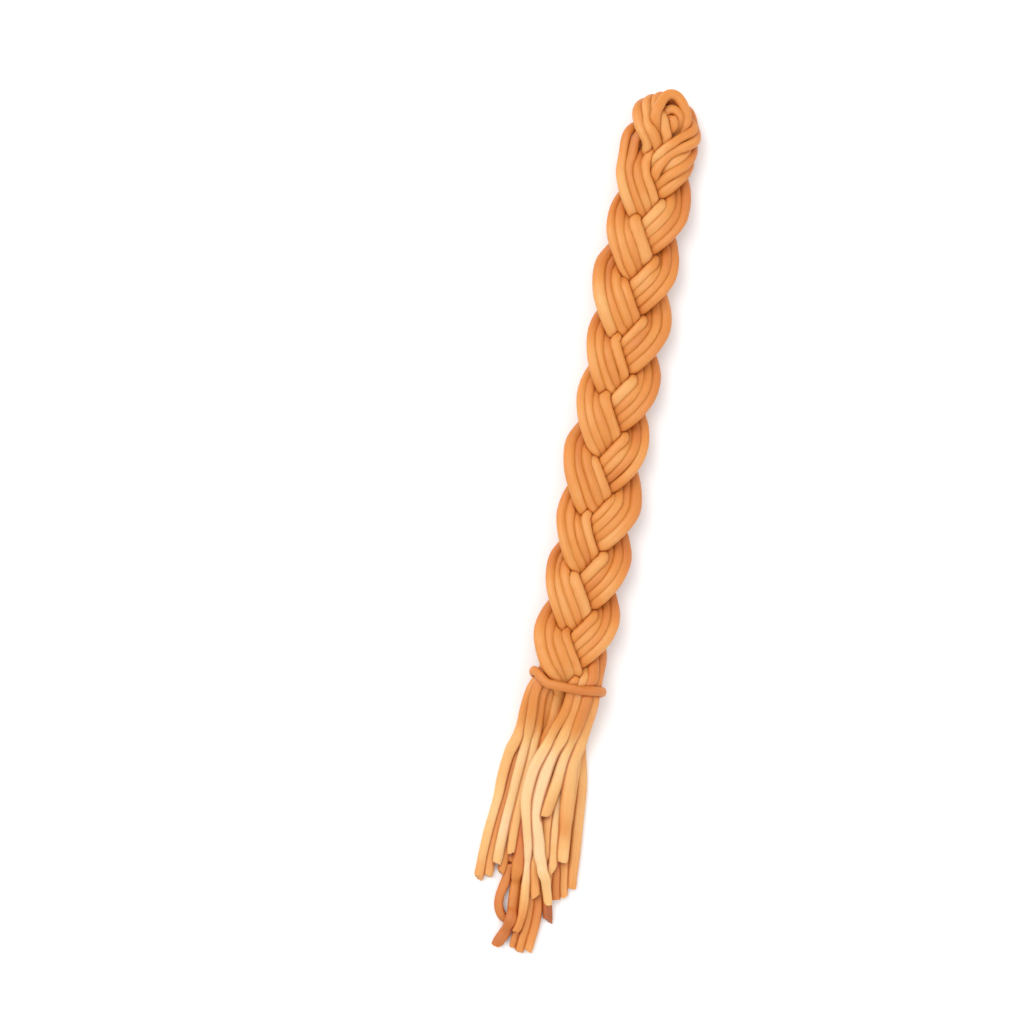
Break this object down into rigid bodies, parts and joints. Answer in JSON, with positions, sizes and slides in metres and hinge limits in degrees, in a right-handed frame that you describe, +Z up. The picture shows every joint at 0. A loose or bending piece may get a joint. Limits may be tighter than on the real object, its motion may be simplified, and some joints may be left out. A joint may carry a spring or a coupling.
{
  "type": "braided string cheese",
  "caption": "Braid of smoked string cheese, plaited from three strands of soft strings, tied near its lower end by one string, with loose cut tails below the tie.",
  "frame": {"origin": "centre of the underside of the bounding box, where the braid rests on a table", "axes": "+Y runs along the braid from the cut tails towards the folded end, +Z points up out of the shown face, and +X is the braid's right side seen from above with the fold at the top"},
  "size_m": [0.0426, 0.3208, 0.0173],
  "materials": {
    "smoked_cheese": "satin",
    "smoked_cheese_short_strand": "satin",
    "smoked_cheese_tie": "satin"
  },
  "bodies": {
    "root": {"folded_strands": "smoked_cheese", "looped_strand": "smoked_cheese_short_strand", "tie_string": "smoked_cheese_tie"}
  },
  "joints": []
}
